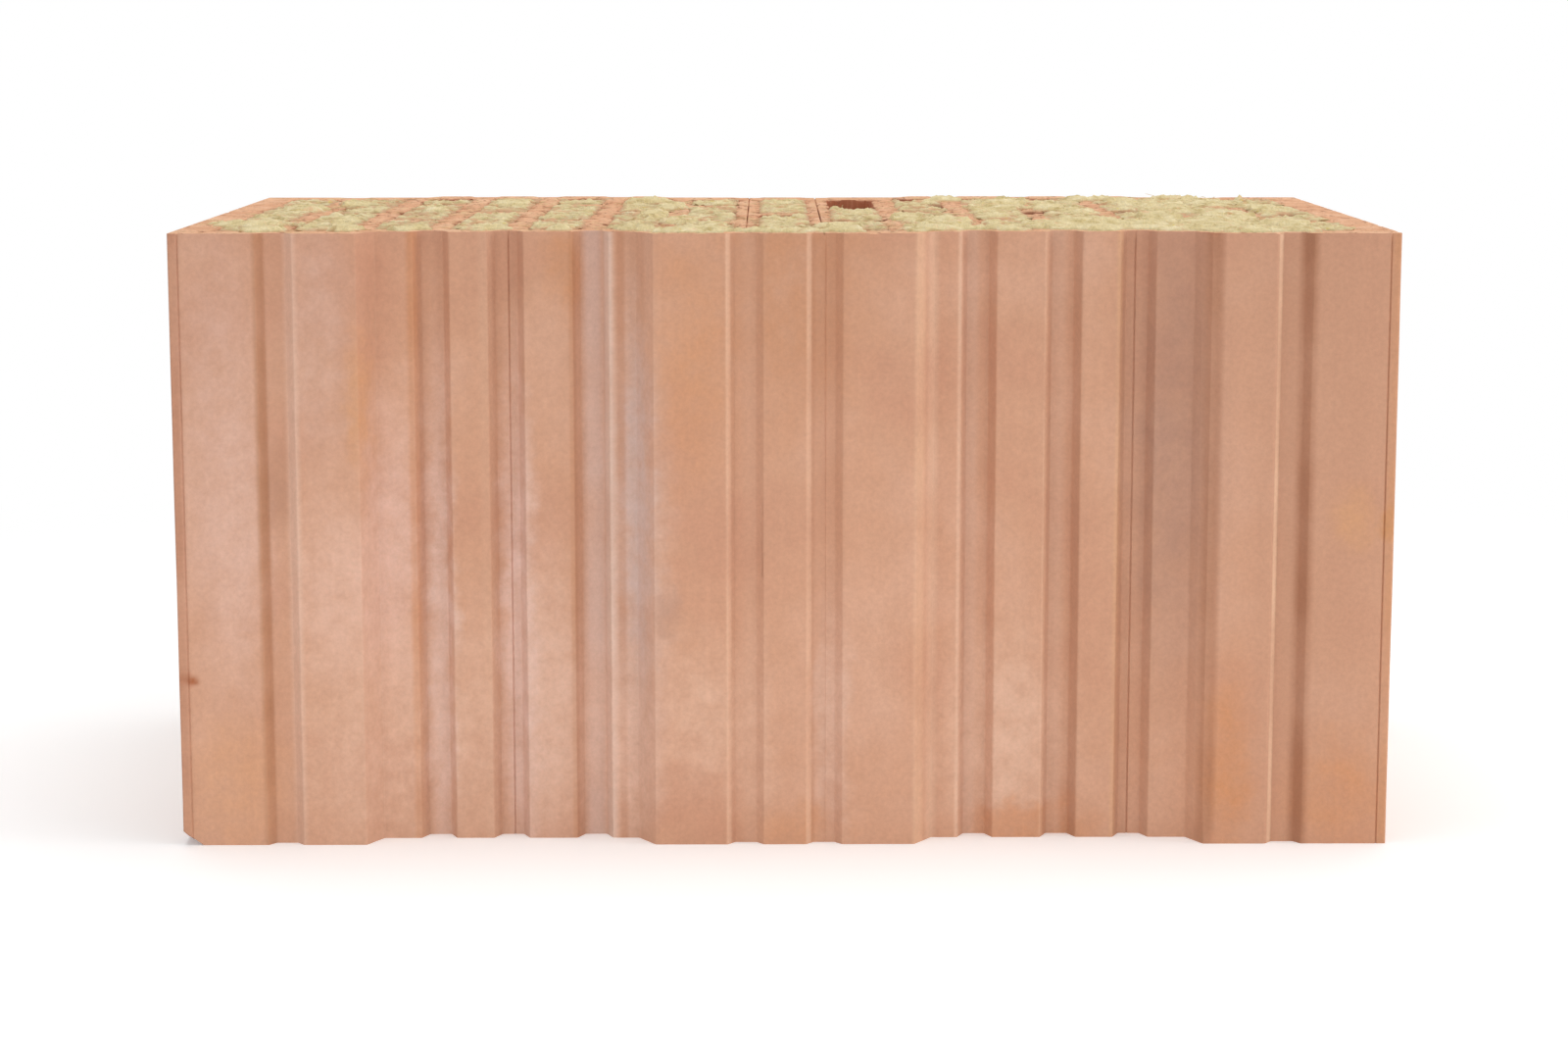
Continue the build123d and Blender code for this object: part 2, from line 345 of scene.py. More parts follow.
def mineral_wool():
    material, tree, place = new_material("mineral_wool")
    clumps = add(tree, "ShaderNodeTexNoise", {
        "Vector": place, "Scale": 1 / 8, "Detail": 5.0, "Roughness": 0.65})
    tone = add(tree, "ShaderNodeValToRGB", {0: clumps})
    ramp_stops(tone, ((0.30, "#bca56e"), (0.42, "#d6c28d"), (0.55, "#e1cf9e"), (0.70, "#ecddb4")))

    strands = []
    for turn in (-0.5, 0.35, 1.2):
        combed = add(tree, "ShaderNodeMapping", {
            "Vector": place, "Rotation": (0, 0, turn), "Scale": (1, 0.13, 0.5)})
        strands.append(add(tree, "ShaderNodeTexNoise", {
            "Vector": combed, "Scale": 1 / 0.7, "Detail": 2.0, "Distortion": 0.6}))
    pair = add(tree, "ShaderNodeMath", {0: strands[0], 1: strands[1]}, operation="MAXIMUM")
    matted = add(tree, "ShaderNodeMath", {0: pair, 1: strands[2]}, operation="MAXIMUM")
    shade = add(tree, "ShaderNodeMapRange", {
        "Value": matted, "From Min": 0.45, "From Max": 0.75, "To Min": 0.87, "To Max": 1.07})
    shaded = add(tree, "ShaderNodeVectorMath", {0: tone, "Scale": shade}, operation="SCALE")

    # Clay dust lies in patches, and on what is no higher than the bed face
    height = add(tree, "ShaderNodeSeparateXYZ", {0: place}).outputs["Z"]
    dusty = add(tree, "ShaderNodeTexNoise", {
        "Vector": place, "Scale": 1 / 8, "Detail": 6.0, "Roughness": 0.7, "W": 3.0},
        noise_dimensions="4D")
    low_share = add(tree, "ShaderNodeMapRange", {
        "Value": height, "From Min": TOP / MM - 0.6, "From Max": TOP / MM + 0.7,
        "To Min": 0.24, "To Max": 0.0})
    dust_level = add(tree, "ShaderNodeMath", {0: dusty, 1: low_share}, operation="ADD")
    dust_mask = add(tree, "ShaderNodeMapRange", {
        "Value": dust_level, "From Min": 0.56, "From Max": 0.70, "To Min": 0.0, "To Max": 0.8})
    dusted = add(tree, "ShaderNodeMix", {0: dust_mask, 6: shaded, 7: colour("#dda67e")},
                 data_type="RGBA")
    binder = add(tree, "ShaderNodeMapRange", {
        "Value": add(tree, "ShaderNodeTexNoise", {
            "Vector": place, "Scale": 1 / 4.5, "Detail": 2.0, "W": 7.0}, noise_dimensions="4D"),
        "From Min": 0.68, "From Max": 0.74, "To Min": 0.0, "To Max": 0.7})
    upper = add(tree, "ShaderNodeMix", {0: binder, 6: dusted, 7: colour("#dcc35c")},
                data_type="RGBA")
    fold_shade = add(tree, "ShaderNodeMapRange", {
        "Value": height, "From Min": TOP / MM - 2.2, "From Max": TOP / MM + 0.8,
        "To Min": 0.42, "To Max": 1.03})
    surface = add(tree, "ShaderNodeVectorMath", {0: upper, "Scale": fold_shade}, operation="SCALE")

    bump = add(tree, "ShaderNodeBump", {
        "Height": matted, "Strength": 0.7, "Distance": 0.45 * MM})
    shader = add(tree, "ShaderNodeBsdfPrincipled", {
        "Base Color": surface, "Roughness": 0.95, "IOR": 1.45, "Specular IOR Level": 0.1,
        "Sheen Weight": 0.15, "Sheen Roughness": 0.6, "Normal": bump})
    add(tree, "ShaderNodeOutputMaterial", {"Surface": shader})
    return material


# The clay body's material slots, in order
SKIN, BED, CORED = range(3)
CLAY = (fired_clay(), ground_clay(), cored_clay())
WOOL = mineral_wool()


# Making pieces

def finished(name, bm, *materials):
    """Turns a bmesh into a smooth-shaded piece of the scene, with creases kept over 35 degrees."""
    mesh = bpy.data.meshes.new(name)
    for edge in bm.edges:
        edge.smooth = not (edge.is_manifold and edge.calc_face_angle(0.0) > math.radians(35))
    for face in bm.faces:
        face.smooth = True
    bm.to_mesh(mesh)
    bm.free()
    piece = bpy.data.objects.new(name, mesh)
    for material in materials:
        mesh.materials.append(material)
    bpy.context.scene.collection.objects.link(piece)
    return piece


def verts_of(result):
    """The vertices that a bmesh operator made."""
    return [item for item in result["geom"] if isinstance(item, bmesh.types.BMVert)]


X, Y, Z = range(3)


def cut_along(bm, axis, places, inside):
    """Cuts the faces that pass the inside test with planes square to an axis."""
    normal = Vector([float(i == axis) for i in (X, Y, Z)])
    chosen = [face for face in bm.faces if inside(face)]
    edges = {edge for face in chosen for edge in face.edges}
    verts = {vert for face in chosen for vert in face.verts}
    geometry = chosen + list(edges) + list(verts)
    for place in places:
        result = bmesh.ops.bisect_plane(bm, geom=geometry, dist=1e-7, plane_co=normal * place,
                                        plane_no=normal)
        geometry = result["geom"]


def steps(low, high, spacing):
    """Evenly spaced places strictly between two ends."""
    count = max(1, round((high - low) / spacing))
    return [low + (high - low) * i / count for i in range(1, count)]


def flat_grid(size, spacing, margin=0.0):
    """A level grid round the origin, stretched by the margin on every side."""
    bm = bmesh.new()
    bmesh.ops.create_grid(bm, x_segments=round(size.x / spacing),
                          y_segments=round(size.y / spacing), size=0.5)
    bmesh.ops.scale(bm, verts=bm.verts, vec=(size.x + 2 * margin, size.y + 2 * margin, 1))
    return bm


def rough(place, grain, seed=0.0):
    """Smooth noise from about -1 to 1, with lumps of the given size."""
    return noise.noise(place / grain + Vector((seed, seed * 0.7, seed * 1.3)))


def ease(value, low, high):
    """0 below low, 1 above high and a smooth rise between."""
    t = min(1.0, max(0.0, (value - low) / (high - low)))
    return t * t * (3 - 2 * t)


# Clay body: the frame's own solid with a finer skin. The sides are cut into a net of strips, so
# that they can wave and crease, and the upper bed face into a grid, so that it can be torn and
# its arrises chipped.

TOP_GRID = 1.2 * MM
STRIP_WIDTH = 3.0 * MM
STRIP_DEPTH = 6.0 * MM
LIFT = 10.0 * MM
RIM_DEPTH = 9.0 * MM
RIM_STEPS = (1.8 * MM, 4.2 * MM)
FOOT_STEPS = (1.5 * MM, 5.0 * MM)
# A vertex less than this below the top lies on the ground face
SLACK = 0.01 * MM
CREASE_HALF_WIDTH = 0.42 * MM
# A vertex closer than this to the middle of a crease lies in it
IN_CREASE = CREASE_HALF_WIDTH * 0.2
FRONT_CREASES = (
    # place across the head face, depth, lower and upper end, in mm
    (-240.9, 0.5, 0, 250),
    (-111.1, 0.75, 0, 250),
    (-9.4, 1.1, 112, 138),
    (16.2, 0.35, 0, 250),
    (141.0, 0.65, 0, 250),
    (240.9, 0.7, 0, 250),
)
TOP_CREASES = (-0.5 * ROW_PITCH, 0.5 * ROW_PITCH)
TOP_CREASE_DEPTH = 1.4 * MM
# Webs that are broken down, the first in front of the empty chamber: place and reach, in mm
TORN_WEBS = ((31.2, 49, 9.5), (110, 5, 6.5), (202, 5, 6.0))
TORN_WEB_DEPTH = 5.5 * MM
# The outer shoulder of the right recess is worn back above the foot: start, deepest place, end
SHOULDER = (165.5 * MM, 170.5 * MM, 175.2 * MM)
SHOULDER_DEPTH = 2.6 * MM
SHOULDER_STEPS = [place * MM for place in (167.0, 168.6, 170.6, 172.2, 173.6, 174.5, 175.2)]
# The corner broken off at the foot lies below the first, and its edges over the second are cut up
BREAK_TOP = 8.0 * MM
BREAK_EDGE = 1.5 * MM


def is_upright(face):
    return abs(face.normal.z) < 0.3


def is_slanted(face):
    return 0.3 < abs(face.normal.z) < 0.95


def is_skin(face):
    return face.material_index == SKIN


def frame_body():
    """The frame's clay body with its doubled vertices merged."""
    body = bmesh.new()
    body.from_mesh(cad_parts["clay_block"].data)
    bmesh.ops.remove_doubles(body, verts=body.verts, dist=1e-6)
    body.normal_update()
    return body


def outer_sides(bm):
    """Every upright face that is joined to the outermost one: the body's outline."""
    start = max((face for face in bm.faces if is_upright(face)),
                key=lambda face: face.calc_center_median().x)
    found, queue = {start}, [start]
    while queue:
        for edge in queue.pop().edges:
            for face in edge.link_faces:
                if face not in found and is_upright(face):
                    found.add(face)
                    queue.append(face)
    return found


def body_outline():
    """The sides of the body, for telling how far a place is inside its outline."""
    body = frame_body()
    sides = outer_sides(body)
    rest = [face for face in body.faces if face not in sides]
    bmesh.ops.delete(body, geom=rest, context="FACES")
    tree = bvhtree.BVHTree.FromBMesh(body)
    body.free()
    return tree


OUTLINE = body_outline()


def inset(place):
    """How far a place is inside the body's outline, or less than nought outside it."""
    level = Vector((place.x, place.y, TOP / 2))
    nearest, outwards, _, distance = OUTLINE.find_nearest(level)
    return distance if (nearest - level).dot(outwards) > 0 else -distance


def clay_core():
    """The frame's clay body with its sides cut into a net."""
    core = frame_body()
    upright = [edge for edge in core.edges if all(is_upright(face) for face in edge.link_faces)]
    bmesh.ops.dissolve_limit(core, angle_limit=0.001, edges=upright, verts=[])
    sides = outer_sides(core)
    for face in core.faces:
        face.material_index = SKIN if face in sides else CORED if is_upright(face) else BED

    low, high = body_low, body_high
    cut_along(core, Z, [TOP - RIM_DEPTH], is_upright)
    lifts = steps(low.z, TOP - RIM_DEPTH, LIFT)
    cut_along(core, Z, lifts + [low.z + step for step in FOOT_STEPS], is_skin)
    cut_along(core, Z, [TOP - step for step in RIM_STEPS], is_skin)
    cut_along(core, X, steps(low.x, high.x, STRIP_WIDTH), is_skin)
    cut_along(core, Y, steps(low.y, high.y, STRIP_DEPTH), is_skin)
    creases = [crease[0] * MM + side * CREASE_HALF_WIDTH
               for crease in FRONT_CREASES for side in (-1, 0, 1)]
    cut_along(core, X, creases + SHOULDER_STEPS,
              lambda face: is_skin(face) and face.normal.y < -0.1)
    return core


def clay_solid():
    """The clay body with a close grid on its upper bed face."""
    core = clay_core()
    overshoot = 5 * MM
    for vert in core.verts:
        if vert.co.z > TOP - SLACK:
            vert.co.z += overshoot
    core_piece = finished("core", core, *CLAY)

    grid = flat_grid(body_high - body_low, TOP_GRID, overshoot)
    bmesh.ops.translate(grid, verts=grid.verts, vec=(0, 0, TOP))
    for place in TOP_CREASES:
        cut_along(grid, X, [place + side * CREASE_HALF_WIDTH for side in (-1, 0, 1)],
                  lambda face: True)
    under = verts_of(bmesh.ops.extrude_face_region(grid, geom=grid.faces[:]))
    bmesh.ops.translate(grid, verts=under, vec=(0, 0, -TOP - overshoot))
    bmesh.ops.recalc_face_normals(grid, faces=grid.faces)
    for face in grid.faces:
        face.material_index = BED
    grid_piece = finished("grid", grid, *CLAY)

    trim = grid_piece.modifiers.new("trim", "BOOLEAN")
    trim.operation = "INTERSECT"
    trim.solver = "MANIFOLD"
    trim.object = core_piece
    depsgraph = bpy.context.evaluated_depsgraph_get()
    trimmed = bpy.data.meshes.new_from_object(grid_piece.evaluated_get(depsgraph))
    bm = bmesh.new()
    bm.from_mesh(trimmed)
    for piece in (core_piece, grid_piece):
        bpy.data.objects.remove(piece)
    bmesh.ops.remove_doubles(bm, verts=bm.verts, dist=2e-6)
    bm.normal_update()
    return bm


def rim_loss(place, is_outer):
    """How deep the arris of the ground face is broken away at a place."""
    flat = Vector((place.x, place.y, 0))
    if is_outer:
        return (0.1 + 0.2 * max(0.0, rough(flat, 2.6 * MM, 3.1))
                + 2.4 * max(0.0, rough(flat, 7.0 * MM, 9.4) - 0.45)) * MM
    nibbles = max(0.0, rough(flat, 2.2 * MM, 3.1))
    chips = max(0.0, rough(flat, 6.0 * MM, 9.4) - 0.12)
    return min(0.3 + 3.0 * nibbles + 7.0 * chips, 3.8) * MM


def tear_depth(flat):
    """Shallow hollows, and tears longer across than along, fewer towards the outer arris."""
    across = Vector((flat.x * 0.5, flat.y, 0))
    depth = 0.5 * max(0.0, rough(flat, 5 * MM, 1.0)) + 0.5 * max(0.0, rough(flat, 1.9 * MM, 5.0))
    depth += min(1.6, 8.0 * max(0.0, rough(across, 2.6 * MM, 7.0) - 0.27))
    return depth * MM * ease(inset(flat), 1.0 * MM, 22.0 * MM)


def web_loss(flat):
    """How far the torn webs are broken down at a place."""
    loss = 0.0
    for x, y, reach in TORN_WEBS:
        away = math.hypot(flat.x / MM - x, flat.y / MM - y) + 2.5 * rough(flat, 4 * MM, 3.0)
        loss += TORN_WEB_DEPTH * (1 - ease(away, reach - 1.5, reach + 2))
    return loss


def wear_upper_face(bm, moves):
    """Tears the ground face, breaks its arrises and opens hair cracks over two webs."""
    upper = [vert for vert in bm.verts if vert.co.z > TOP - SLACK]
    arris = [vert for vert in upper if any(is_upright(face) for face in vert.link_faces)]
    outer = [any(is_skin(face) for face in vert.link_faces) for vert in arris]
    tree = kdtree.KDTree(len(arris))
    for index, vert in enumerate(arris):
        tree.insert(vert.co, index)
    tree.balance()
    for vert in upper:
        flat = Vector((vert.co.x, vert.co.y, 0))
        nearest, index, distance = tree.find(vert.co)
        loss = rim_loss(nearest, outer[index])
        drop = loss * (1 - ease(distance, 0.0, 0.8 * MM + 1.5 * loss))
        drop += tear_depth(flat) + web_loss(flat)
        if min(abs(vert.co.x - crease) for crease in TOP_CREASES) < IN_CREASE:
            drop += TOP_CREASE_DEPTH * max(0.0, 0.55 + rough(flat, 30 * MM, 2.0))
        moves[vert] = Vector((0, 0, -drop))
    for vert in bm.verts:
        depth = TOP - vert.co.z
        if SLACK < depth < RIM_DEPTH * 0.99:
            moves[vert] = Vector((0, 0, -rim_loss(vert.co, True) * (1 - depth / RIM_DEPTH)))


def seam_depth(place, drawn):
    """How far the front's seams stand open. Those that start at the foot run the whole height."""
    opened = 0.0
    for middle, depth, low, high in FRONT_CREASES:
        if abs(place.x - middle * MM) < IN_CREASE:
            along = place.z / MM
            share = ease(along, low - 1, low + 8) * (1 - ease(along, high - 8, high + 1))
            if low == 0:
                share = 1.0
            opened += depth * MM * share * (0.9 + 0.35 * rough(drawn, 12 * MM, 2.0))
    return opened


def wear_sides(bm, moves):
    """Lets the sides wave a little, always inwards, and opens the seams that the die left."""
    start, deepest, end = SHOULDER
    for vert in bm.verts:
        sides = [face.normal for face in vert.link_faces if is_skin(face)]
        if not sides:
            continue
        place = vert.co
        outwards = sum(sides, Vector()).normalized()
        drawn = Vector((place.x, place.y, place.z * 0.06))
        dent = 0.07 + 0.07 * rough(drawn, 9 * MM, 4.0) + 0.09 * rough(place, 40 * MM, 6.0)
        inward = max(0.0, dent) * MM
        if place.z < 1 * MM:
            inward += 0.25 * MM * max(0.0, rough(place, 7 * MM, 8.0) - 0.1)
        if outwards.y < -0.5 and place.z < TOP - SLACK:
            inward += seam_depth(place, drawn)
        move = -outwards * inward
        if outwards.y < -0.1 and start < place.x < end:
            share = ease(place.x, start, deepest) * (1 - ease(place.x, deepest, end))
            move.y += SHOULDER_DEPTH * share * ease(place.z, 2 * MM, 16 * MM)
        moves[vert] = moves.get(vert, Vector()) + move


def broken_faces(bm):
    """The slanted faces that the broken corner left at the foot."""
    return [face for face in bm.faces
            if is_slanted(face) and face.calc_center_median().z < BREAK_TOP]


def roughen_break(bm):
    """Subdivides the broken corner's face and makes it uneven."""
    bmesh.ops.triangulate(bm, faces=broken_faces(bm))
    broken = broken_faces(bm)
    edges = list({edge for face in broken for edge in face.edges
                  if edge.calc_length() > BREAK_EDGE})
    outwards = broken[0].normal.copy()
    bmesh.ops.subdivide_edges(bm, edges=edges, cuts=7, use_grid_fill=True)
    bm.normal_update()
    for vert in bm.verts:
        if vert.co.z < BREAK_TOP and all(is_slanted(face) for face in vert.link_faces):
            vert.co += outwards * (0.7 * MM * rough(vert.co, 2.6 * MM, 3.3))
            vert.co.z = max(vert.co.z, body_low.z)


def clay_body():
    bm = clay_solid()
    moves = {}
    wear_upper_face(bm, moves)
    wear_sides(bm, moves)
    for vert, move in moves.items():
        vert.co += move
    roughen_break(bm)
    piece = finished("clay_body", bm, *CLAY)
    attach(piece, "root")
    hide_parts("clay_block")


# Wool: what is common to the slabs and to what was dragged out of them

WISP_RADIUS = 0.13 * MM
WISP_SEGMENTS = 4
HOLLOWS = (
    # places where a slab ends short or was torn out: middle in x and y, half sizes, depth, in mm
    (-215, 101, 11, 12, 9), (-158, 108, 9, 15, 12), (-127, 108, 10, 13, 9), (-196, 31, 8, 11, 8),
    (-6, -17, 12, 12, 10), (60, 106, 10, 16, 10), (110, 3, 8, 12, 9), (152, 2, 9, 12, 12),
    (202, 3, 9, 12, 9), (221, -15, 7, 11, 10), (-36, 100, 9, 9, 6), (24, -52, 8, 7, 5),
    (31, 37, 14, 10, 8), (-57, 60, 7, 9, 9), (71, 48, 5, 22, 8), (-27, -70, 6, 6, 6),
    (-22, 7, 5, 9, 8), (-94, 108, 8, 12, 7), (176, 60, 7, 10, 8), (218, 62, 8, 10, 8),
)


def wisp_mesh(name, bend, arch):
    """A three-sided fibre, one metre long until it is scaled, that bends aside and arches up."""
    bm = bmesh.new()
    bmesh.ops.create_circle(bm, cap_ends=True, radius=WISP_RADIUS, segments=3)
    bmesh.ops.rotate(bm, verts=bm.verts, matrix=Matrix.Rotation(math.pi / 2, 3, "Y"))
    tip = bm.faces[:]
    for segment in range(WISP_SEGMENTS):
        made = bmesh.ops.extrude_face_region(bm, geom=tip)
        # The first face closes the fibre's root, and the later ones would be left inside it
        if segment > 0:
            bmesh.ops.delete(bm, geom=tip, context="FACES_ONLY")
        bmesh.ops.translate(bm, verts=verts_of(made), vec=(1 / WISP_SEGMENTS, 0, 0))
        tip = [item for item in made["geom"] if isinstance(item, bmesh.types.BMFace)]
    bmesh.ops.recalc_face_normals(bm, faces=bm.faces)
    for vert in bm.verts:
        sway = math.sin(math.pi * vert.co.x)
        thin = 1 - 0.6 * abs(2 * vert.co.x - 1)
        vert.co.y = vert.co.y * thin + bend * sway * MM
        vert.co.z = vert.co.z * thin + arch * sway * MM
    mesh = bpy.data.meshes.new(name)
    bm.to_mesh(mesh)
    bm.free()
    return mesh


WISPS = [wisp_mesh(f"wisp_{number}", bend, arch) for number, (bend, arch) in enumerate(
    ((0.8, 0.5), (-1.4, 0.3), (2.0, 0.4), (-0.5, 0.9)))]


def add_wisps(bm, roots, count, draw):
    """Lays loose fibres on the given vertices, each in its own direction."""
    places = [root.co.copy() for root in roots]
    laid = bmesh.new()
    for _ in range(count):
        place = draw.choice(places)
        first = len(laid.verts)
        laid.from_mesh(draw.choice(WISPS))
        laid.verts.ensure_lookup_table()
        angle = draw.uniform(0, 2 * math.pi)
        tilt = Matrix.Rotation(draw.gauss(0, 0.06), 4, "Y")
        length = draw.uniform(3, 9) * MM
        if inset(place + Vector((math.cos(angle), math.sin(angle), 0)) * length) < 3 * MM:
            angle += math.pi
        turn = Matrix.Rotation(angle, 4, "Z")
        stretch = Matrix.Diagonal((length, 1, 1, 1))
        shift = Matrix.Translation(place + Vector((0, 0, draw.uniform(-0.1, 0.25) * MM)))
        bmesh.ops.transform(laid, matrix=shift @ turn @ tilt @ stretch, verts=laid.verts[first:])
    mesh = bpy.data.meshes.new("wisps")
    laid.to_mesh(mesh)
    laid.free()
    bm.from_mesh(mesh)


def hollow(place):
    """How deep the wool is sunk at a place, by the list of hollows."""
    depth = 0.0
    for x, y, half_x, half_y, deepest in HOLLOWS:
        reach = math.hypot((place.x / MM - x) / half_x, (place.y / MM - y) / half_y)
        reach += 0.35 * rough(place, 4 * MM, 6.1)
        depth = max(depth, deepest * (1 - ease(reach, 0.45, 1.0)))
    return depth * MM


def lumps(place):
    """The uneven upper surface of matted wool, with narrow folds between its lumps."""
    fold = max(0.0, 1 - abs(rough(place, 5.5 * MM, 3.9)) / 0.17)
    fold *= max(0.0, 0.3 + 1.8 * rough(place, 10 * MM, 8.1))
    return (1.1 * rough(place, 8 * MM, 0.3) + 0.9 * rough(place, 3.2 * MM, 1.7)
            + 0.6 * rough(place, 1.5 * MM, 2.9) - 2.8 * fold) * MM


def ride_as_wool(piece):
    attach(piece, "root")


# Wool slabs: a box of matted fibre in each chamber, with a lumpy, frayed upper end

WOOL_GRID = 0.95 * MM
WOOL_CORNER = 5.0 * MM
SLAB_LEVELS = (1.4 * MM, 4.0 * MM, 20.0 * MM)
# The part of a slab's sides that sinks with the hollows
UPPER_END = 6.0 * MM
WISPS_PER_SLAB = 20
FRAY_REACH = 4.6 * MM
EDGE_HEIGHT = -0.8 * MM
TORN_END_DEPTH = 7.0 * MM
BACK_ENDS = 85 * MM
# The slabs' upper ends drop towards the back, between these two places
BACK_SLOPE = (80 * MM, 105 * MM)
BACK_DROP = 0.8 * MM
TALL_TUFT = Vector((215, 98)) * MM
TUFT_SIZE = 3.4 * MM


def round_corner(offset, half):
    """Bends a square corner of a grid round to the slab's corner radius."""
    over = Vector((abs(offset.x) - (half.x - WOOL_CORNER), abs(offset.y) - (half.y - WOOL_CORNER)))
    if over.x <= 0 or over.y <= 0:
        return offset
    scale = max(over.x, over.y) / over.length
    bent = Vector((half.x - WOOL_CORNER + over.x * scale, half.y - WOOL_CORNER + over.y * scale))
    return Vector((math.copysign(bent.x, offset.x), math.copysign(bent.y, offset.y), offset.z))


def wool_slab(name, low, high, seed):
    """One slab. Its upper end swells and sinks by turns and frays a little over the webs."""
    middle = (low + high) / 2
    half = (high - low) / 2
    bm = flat_grid(high - low, WOOL_GRID)
    for vert in bm.verts:
        vert.co = round_corner(vert.co, half)
    bmesh.ops.translate(bm, verts=bm.verts, vec=(middle.x, middle.y, TOP))
    upper = bm.verts[:]
    rim = [edge for edge in bm.edges if edge.is_boundary]
    reached = 0.0
    sides_below = []
    for level in SLAB_LEVELS + (TOP - low.z,):
        sides = bmesh.ops.extrude_edge_only(bm, edges=rim)
        bmesh.ops.translate(bm, vec=(0, 0, reached - level), verts=verts_of(sides))
        sides_below += verts_of(sides)
        rim = [item for item in sides["geom"] if isinstance(item, bmesh.types.BMEdge)
               and item.is_boundary]
        reached = level
    bmesh.ops.holes_fill(bm, edges=rim)
    bmesh.ops.recalc_face_normals(bm, faces=bm.faces)

    for vert in sides_below:
        if vert.co.z > TOP - UPPER_END:
            vert.co.z -= hollow(vert.co)
    lift = 0.25 * MM + 0.5 * MM * rough(middle, 40 * MM, 2.2)
    for vert in upper:
        place = vert.co.copy()
        offset = place - middle
        side_room = half.x - abs(offset.x)
        end_room = half.y - abs(offset.y)
        # How far the fibres are dragged over the web beside them, and how far they are torn back
        fray = (-0.6 + 2.0 * ease(place.x, 20 * MM, 120 * MM) + 3.0 * rough(place, 6.5 * MM, 4.4)
                + 1.8 * rough(place, 2.1 * MM, 8.8)) * MM
        room = min(side_room, end_room)
        edge_share = 1 - ease(room, 0.0, 2.6 * MM)
        is_back_end = offset.y > 0 and place.y > BACK_ENDS
        torn_end = rough(Vector((place.x, math.copysign(1, offset.y) + middle.y, 0)), 6 * MM, seed)
        gap = max(0.0, torn_end + (0.25 if is_back_end else -0.08))
        sink = TORN_END_DEPTH * gap * (1 - ease(end_room, 0.5 * MM, 4.5 * MM)) + hollow(place)
        height = lift + lumps(place) - BACK_DROP * ease(place.y, *BACK_SLOPE) - sink
        if sink < 0.5 * MM:
            spread = min(max(fray, -0.3 * MM), FRAY_REACH) * edge_share
            if side_room <= end_room:
                vert.co.x += math.copysign(spread, offset.x)
            else:
                vert.co.y += math.copysign(spread, offset.y)
            if room < 0.1 * MM:
                height = EDGE_HEIGHT
            elif fray > 0:
                height += (max(height, 0.3 * MM) * 0.4 - height) * edge_share
            else:
                height += (EDGE_HEIGHT * 0.6 - height) * edge_share
        height += TUFT_SIZE * (1 - ease((place.xy - TALL_TUFT).length, 0.0, TUFT_SIZE))
        vert.co.z = TOP + height
    draw = random.Random(name)
    add_wisps(bm, upper, round(WISPS_PER_SLAB * half.y / (50 * MM)) + 4, draw)
    piece = finished(name.replace("wool", "wool_slab"), bm, WOOL)
    ride_as_wool(piece)
    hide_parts(name)


# Loose wool: what the cutting and grinding dragged out of the chambers and matted over the webs

LOOSE_GRID = 1.4 * MM
LOOSE_WISPS = 500
# How far the mats stay inside the outline, in front and behind, and reach below the bed face
FRONT_MARGIN = 0.8 * MM
BACK_MARGIN = 6.0 * MM
MAT_ROOT = 0.7 * MM
LOOSE_WOOL = (
    # middle in x and y and half sizes, in mm
    (-218, -78, 22, 16), (-212, 20, 12, 22), (-196, 60, 8, 20), (-154, 20, 8, 14),
    (-124, 62, 10, 22), (-62, 76, 12, 34), (-56, -20, 8, 40), (-50, 40, 9, 26), (-30, -84, 9, 14),
    (-44, -62, 10, 20), (20, -92, 12, 10), (62, -92, 14, 22), (70, -60, 11, 26), (52, -40, 8, 30),
    (76, 96, 10, 12), (96, 40, 14, 36), (104, 72, 12, 22), (118, 28, 10, 24), (110, -86, 16, 26),
    (128, -70, 18, 34), (130, 0, 10, 20), (146, -80, 16, 30), (160, -40, 12, 40),
    (158, 70, 10, 30), (172, 40, 14, 60), (178, -76, 16, 34), (190, -30, 14, 46),
    (196, 66, 13, 36), (206, -80, 14, 26), (184, 100, 14, 14), (150, 100, 10, 10),
    (214, 30, 9, 34), (138, 96, 8, 12),
    # smears over the front shell, up to the arris
    (-208, -117, 12, 13), (-177, -108, 9, 16), (-151, -108, 11, 16), (-120, -105, 12, 14),
    (-90, -107, 8, 15), (-60, -108, 10, 16), (-38, -117, 20, 15), (-2, -119, 26, 11),
    (24, -118, 10, 12), (64, -110, 20, 16), (90, -108, 12, 10), (126, -108, 22, 16),
    (156, -108, 22, 18), (186, -116, 20, 16), (208, -117, 10, 10),
)


def loose_cover(place):
    """Over nought where loose wool lies, rising towards the middle of each mat."""
    cover = -1.0
    for x, y, half_x, half_y in LOOSE_WOOL:
        across, along = (place.x / MM - x) / half_x, (place.y / MM - y) / half_y
        if abs(across) < 1.5 and abs(along) < 1.5:
            cover = max(cover, 1 - across * across - along * along)
    if cover > -1:
        cover += 0.55 * rough(place, 6 * MM, 5.5) + 0.4 * rough(place, 2.4 * MM, 1.5)
    return cover - hollow(place) / (4 * MM)


